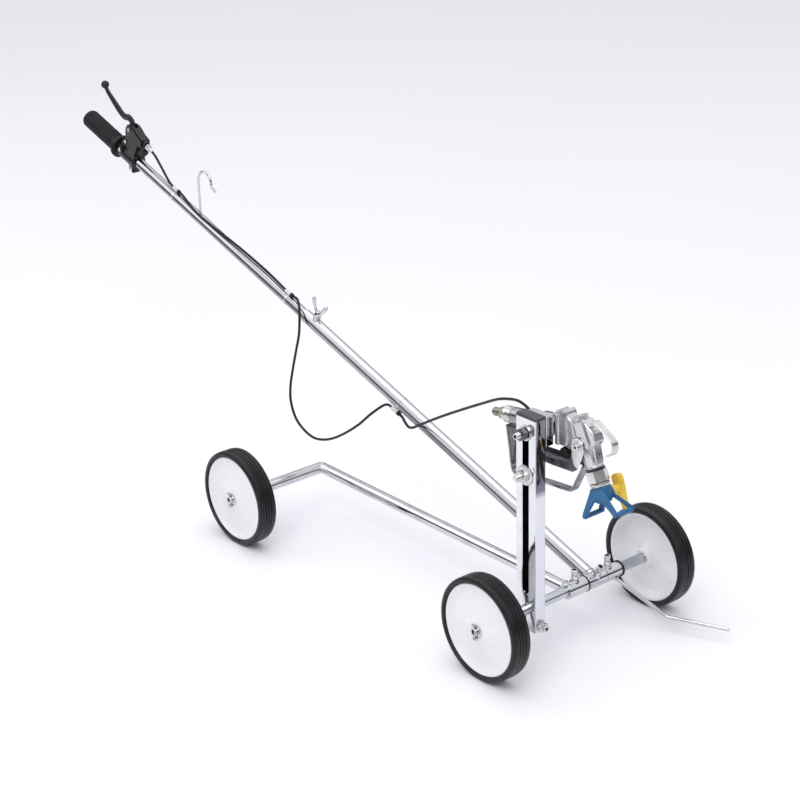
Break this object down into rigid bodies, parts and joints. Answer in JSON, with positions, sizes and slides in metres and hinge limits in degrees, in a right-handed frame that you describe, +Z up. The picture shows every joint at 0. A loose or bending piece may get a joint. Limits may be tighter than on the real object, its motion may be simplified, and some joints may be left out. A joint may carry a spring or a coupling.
{
  "type": "line striping machine",
  "caption": "Hand-pushed line striping cart: low tube frame on wheels, telescoping handle with lever and hose hook, slotted post carrying a cable-worked airless spray gun, bent pointer rod",
  "frame": {"origin": "on the ground, under the middle of the object's box", "axes": "+X forward, the way the cart is pushed; +Y its left; +Z up"},
  "size_m": [1.5168, 0.384, 0.6206],
  "materials": {
    "chrome": "bright chrome plate",
    "zinc_steel": "bright zinc plate",
    "dark_steel": "satin dark grey coat",
    "cast_aluminium": "matte silver casting",
    "brass": "nickel-tinted brass",
    "white_disc": "white, semi-gloss",
    "tyre_rubber": "matte black, ribbed tread",
    "black_rubber": "matte black",
    "black_plastic": "satin black",
    "black_lever": "satin black coat",
    "blue_guard": "satin blue",
    "yellow_tip": "satin yellow"
  },
  "bodies": {
    "chassis": {"front_axle": "chrome", "rear_frame": "chrome", "frame_lock_bolt": "zinc_steel", "spacer_ring": "black_rubber", "stop_ring": "black_rubber", "post": "chrome", "post_cap": "black_plastic", "clamp_bolt": "zinc_steel", "clamp_nut": "zinc_steel", "axle_washer_front_left": "zinc_steel", "axle_washer_front_right": "zinc_steel", "axle_washer_rear": "zinc_steel", "cotter_pin_front_left": "zinc_steel", "cotter_pin_front_right": "zinc_steel", "cotter_pin_rear": "zinc_steel", "cable_run": "black_plastic"},
    "wheel_front_left": {"tyre_front_left": "tyre_rubber", "wheel_disc_front_left": "white_disc"},
    "wheel_front_right": {"tyre_front_right": "tyre_rubber", "wheel_disc_front_right": "white_disc"},
    "wheel_rear": {"tyre_rear": "tyre_rubber", "wheel_disc_rear": "white_disc"},
    "handle_lower": {"handle_lower_tube": "chrome", "handle_lock_bolt": "zinc_steel", "cable_guide_low": "black_plastic"},
    "handle_upper": {"handle_upper_tube": "chrome", "handle_grip": "black_rubber", "lever_perch": "black_lever", "lever_pin": "zinc_steel", "cable_adjuster": "zinc_steel", "cable_guide_high": "black_plastic", "cable_guide_middle": "black_plastic", "hose_hook": "chrome", "cable_upper": "black_plastic", "cable_loop": "black_plastic"},
    "wing_bolt": {"wing_bolt": "chrome"},
    "brake_lever": {"brake_lever": "black_lever"},
    "gun_carriage": {"gun_slider": "chrome", "stud_nut": "zinc_steel", "low_slide_bolt": "zinc_steel", "low_slide_nut": "zinc_steel", "cable_stop": "zinc_steel", "gun_head": "cast_aluminium", "gun_grip": "dark_steel", "grip_fitting": "zinc_steel", "paint_filter": "white_disc", "needle": "zinc_steel", "nozzle_gasket": "black_rubber", "gun_hook": "zinc_steel", "trigger_guard": "dark_steel", "trigger_stop": "black_rubber", "trigger_pin": "zinc_steel", "cable_drop": "black_plastic"},
    "trigger": {"trigger": "dark_steel"},
    "tip_guard": {"tip_nut": "zinc_steel", "tip_guard": "blue_guard"},
    "spray_tip": {"spray_tip": "yellow_tip"},
    "hose_connector": {"hose_connector": "brass"},
    "pointer": {"pointer": "chrome", "pointer_lock_bolt": "zinc_steel"}
  },
  "joints": [
    {"name": "wheel_front_left_spin", "type": "hinge", "parent": "chassis", "child": "wheel_front_left", "pos_m": [0.5882, 0.1697, 0.08], "axis": [0, 1, 0], "continuous": true},
    {"name": "wheel_front_right_spin", "type": "hinge", "parent": "chassis", "child": "wheel_front_right", "pos_m": [0.5882, -0.1697, 0.08], "axis": [0, 1, 0], "continuous": true},
    {"name": "wheel_rear_spin", "type": "hinge", "parent": "chassis", "child": "wheel_rear", "pos_m": [-0.0113, -0.1697, 0.08], "axis": [0, 1, 0], "continuous": true},
    {"name": "handle_tilt", "type": "hinge", "parent": "chassis", "child": "handle_lower", "pos_m": [0.5882, 0.0483, 0.08], "axis": [0, 1, 0], "range_deg": [-12, 45], "deforming": ["cable_run"]},
    {"name": "handle_length", "type": "slide", "parent": "handle_lower", "child": "handle_upper", "axis": [-0.9458, 0, 0.3247], "range_m": [-0.03, 0.09], "deforming": ["cable_loop"]},
    {"name": "wing_bolt_turn", "type": "hinge", "parent": "handle_lower", "child": "wing_bolt", "pos_m": [-0.07481, 0.0483, 0.30765], "axis": [0.3247, 0, 0.9458], "range_deg": [0, 180]},
    {"name": "lever_squeeze", "type": "hinge", "parent": "handle_upper", "child": "brake_lever", "pos_m": [-0.60267, 0.0483, 0.54704], "axis": [0, -1, 0], "range_deg": [0, 22], "stiffness_Nm_per_rad": 0.5, "springref_deg": -20.05},
    {"name": "gun_height", "type": "slide", "parent": "chassis", "child": "gun_carriage", "axis": [0, 0, 1], "range_m": [-0.168, 0], "deforming": ["cable_drop"]},
    {"name": "trigger_pull", "type": "hinge", "parent": "gun_carriage", "child": "trigger", "pos_m": [0.6562, -0.042, 0.35], "axis": [0, 1, 0], "range_deg": [0, 11], "stiffness_Nm_per_rad": 0.3, "springref_deg": -17.19},
    {"name": "guard_turn", "type": "hinge", "parent": "gun_carriage", "child": "tip_guard", "pos_m": [0.6845, -0.042, 0.3075], "axis": [0.4067, 0, -0.9135], "range_deg": [-90, 90]},
    {"name": "tip_reverse", "type": "hinge", "parent": "tip_guard", "child": "spray_tip", "pos_m": [0.69385, -0.042, 0.28649], "axis": [0, 1, 0], "range_deg": [0, 180]},
    {"name": "hose_swivel", "type": "hinge", "parent": "gun_carriage", "child": "hose_connector", "pos_m": [0.4893, -0.042, 0.34622], "axis": [0.989, 0, 0.1478], "continuous": true},
    {"name": "pointer_tilt", "type": "hinge", "parent": "chassis", "child": "pointer", "pos_m": [0.5882, 0.08425, 0.08], "axis": [0, 1, 0], "range_deg": [-110, 4]}
  ],
  "couplings": [
    {"joint": "trigger_pull", "follows": "lever_squeeze", "ratio": 0.5}
  ]
}
